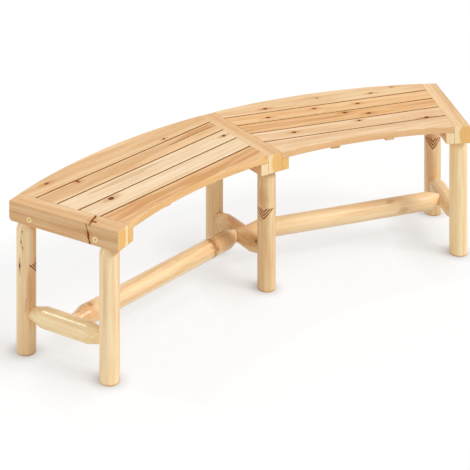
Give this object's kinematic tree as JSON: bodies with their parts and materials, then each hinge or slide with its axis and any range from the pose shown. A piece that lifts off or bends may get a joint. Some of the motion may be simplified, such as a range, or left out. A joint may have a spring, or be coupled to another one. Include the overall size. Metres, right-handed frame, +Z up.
{
  "type": "tree bench",
  "caption": "Curved backless log bench in two slatted seat sections on three leg frames, to stand round part of a tree.",
  "frame": {"origin": "on the floor, below the middle of the bench's box", "axes": "+X along the bench, +Y away from the tree towards the outward curve, +Z up"},
  "size_m": [1.7184, 0.5518, 0.445],
  "materials": {
    "slat_wood": "planed softwood boards with knots, clear matt",
    "beam_wood": "planed square softwood, clear matt",
    "log_wood": "turned peeled log, clear matt",
    "rail_wood": "planed softwood rail, clear matt",
    "plug_wood": "turned pale softwood button",
    "steel": "zinc-plated steel"
  },
  "bodies": {
    "root": {"left_end_beam": "beam_wood", "middle_beam": "beam_wood", "right_end_beam": "beam_wood", "left_inner_leg": "log_wood", "left_outer_leg": "log_wood", "left_cross_stretcher": "log_wood", "middle_inner_leg": "log_wood", "middle_outer_leg": "log_wood", "middle_cross_stretcher": "log_wood", "right_inner_leg": "log_wood", "right_outer_leg": "log_wood", "right_cross_stretcher": "log_wood", "left_long_stretcher": "log_wood", "left_front_slat": "slat_wood", "left_seat_slat_1": "slat_wood", "left_seat_slat_2": "slat_wood", "left_seat_slat_3": "slat_wood", "left_back_slat": "slat_wood", "left_outer_cleat": "rail_wood", "left_inner_cleat": "rail_wood", "left_outer_batten": "rail_wood", "left_inner_batten": "rail_wood", "right_long_stretcher": "log_wood", "right_front_slat": "slat_wood", "right_seat_slat_1": "slat_wood", "right_seat_slat_2": "slat_wood", "right_seat_slat_3": "slat_wood", "right_back_slat": "slat_wood", "right_outer_cleat": "rail_wood", "right_inner_cleat": "rail_wood", "right_outer_batten": "rail_wood", "right_inner_batten": "rail_wood", "bolt_plugs": "plug_wood", "panel_bolts": "steel", "bolt_washers": "steel", "bolt_nuts": "steel", "cleat_screws": "steel", "batten_screws": "steel", "tenon_screws": "steel"}
  },
  "joints": []
}
